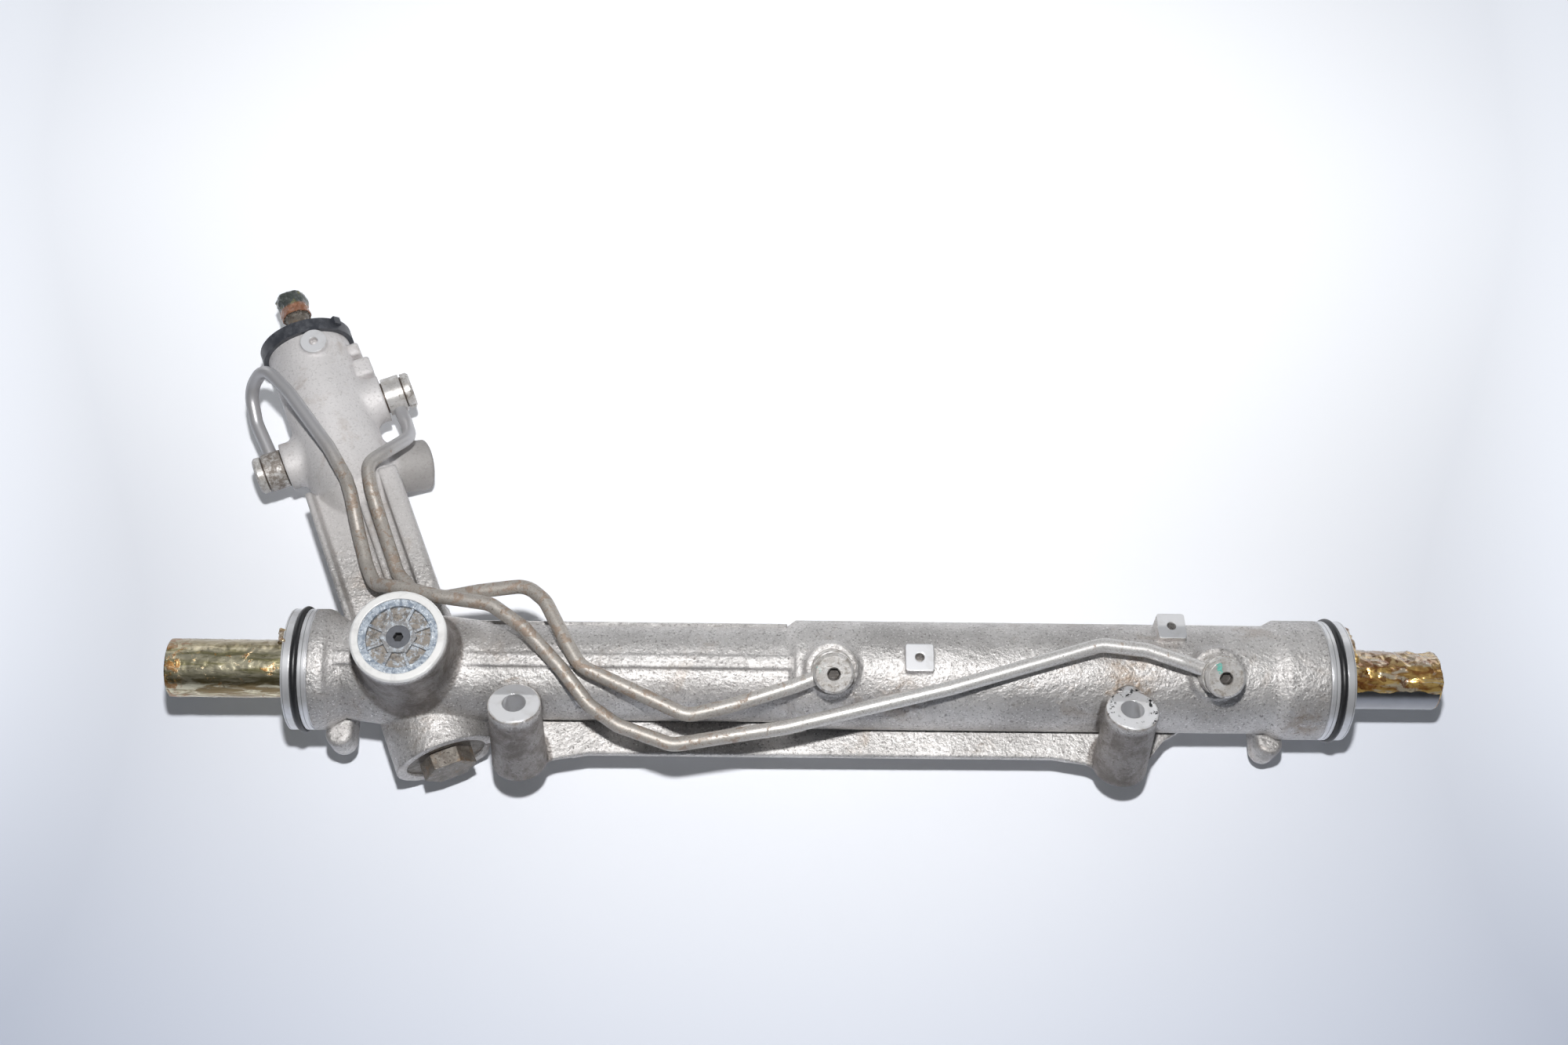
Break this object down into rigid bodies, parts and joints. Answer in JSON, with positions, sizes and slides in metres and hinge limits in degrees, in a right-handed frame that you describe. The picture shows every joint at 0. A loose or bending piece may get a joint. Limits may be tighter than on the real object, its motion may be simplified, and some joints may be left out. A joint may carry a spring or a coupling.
{
  "type": "steering rack",
  "caption": "Hydraulic rack and pinion steering gear: cast housing with a long valve tower, two mounting bosses, two outside steel pipes and a sliding rack bar.",
  "frame": {"origin": "centre of the left boot seat's outer face, on the rack bar's axis", "axes": "+X along the rack bar towards the cylinder end, +Y to the side where the valve tower leans out, +Z out of the yoke plug"},
  "size_m": [0.7172, 0.3146, 0.1088],
  "materials": {
    "cast_aluminium": "sand cast, rough, stained",
    "turned_aluminium": "turned",
    "ground_steel": "ground, greased",
    "bearing_steel": "ground",
    "spring_steel": "oiled",
    "dark_steel": "blackened, dusty",
    "rusty_steel": "lightly rusted, greased",
    "zinc_plated_steel": "zinc plated, dull",
    "pipe_steel": "zinc plated with rust patches",
    "copper": "dull copper",
    "rubber": "matt",
    "black_plastic": "moulded, dusty"
  },
  "bodies": {
    "housing": {"banjo_bolts": "zinc_plated_steel", "banjo_washers": "copper", "dust_cap": "black_plastic", "end_bush": "turned_aluminium", "end_bush_clip": "spring_steel", "end_bush_ring_seal": "rubber", "inner_cylinder_banjo": "zinc_plated_steel", "inner_rack_seal": "rubber", "inner_seal_support": "bearing_steel", "input_shaft_seal": "rubber", "left_boot_ring": "rubber", "left_tower_banjo": "zinc_plated_steel", "long_pipe": "pipe_steel", "lower_bearing_balls": "bearing_steel", "lower_bearing_outer_race": "bearing_steel", "lower_plug": "rusty_steel", "outer_cylinder_banjo": "zinc_plated_steel", "outer_rack_seal": "rubber", "pinion_needle_bearing": "bearing_steel", "pinion_shaft_seal": "rubber", "rack_housing": "cast_aluminium", "right_boot_ring": "rubber", "right_tower_banjo": "zinc_plated_steel", "seal_retaining_ring": "spring_steel", "short_pipe": "pipe_steel", "upper_bearing": "bearing_steel", "yoke": "turned_aluminium", "yoke_liner": "black_plastic", "yoke_plug": "zinc_plated_steel", "yoke_plug_screw": "dark_steel", "yoke_ring_seal": "rubber", "yoke_spring": "spring_steel"},
    "rack": {"rack_bar": "ground_steel", "piston": "ground_steel", "piston_ring": "black_plastic", "piston_clips": "spring_steel"},
    "pinion_shaft": {"pinion": "ground_steel", "pinion_nut": "rusty_steel", "valve_sleeve": "ground_steel", "sleeve_rings": "black_plastic", "torsion_bar": "ground_steel", "lower_bearing_inner_race": "bearing_steel"},
    "steering_input": {"input_shaft": "rusty_steel", "torsion_pin": "ground_steel"}
  },
  "joints": [
    {"name": "rack_slide", "type": "slide", "parent": "housing", "child": "rack", "axis": [1, 0, 0], "range_m": [-0.069, 0.081]},
    {"name": "pinion_turn", "type": "hinge", "parent": "housing", "child": "pinion_shaft", "pos_m": [0.06725, 0, -0.0169], "axis": [-0.3762, 0.9265, 0], "range_deg": [-460, 540]},
    {"name": "valve_twist", "type": "hinge", "parent": "pinion_shaft", "child": "steering_input", "pos_m": [0.06725, 0, -0.0169], "axis": [-0.3762, 0.9265, 0], "range_deg": [-4, 4], "stiffness_Nm_per_rad": 90}
  ],
  "couplings": [
    {"joint": "pinion_turn", "follows": "rack_slide", "rad_per_m": 115.82}
  ]
}
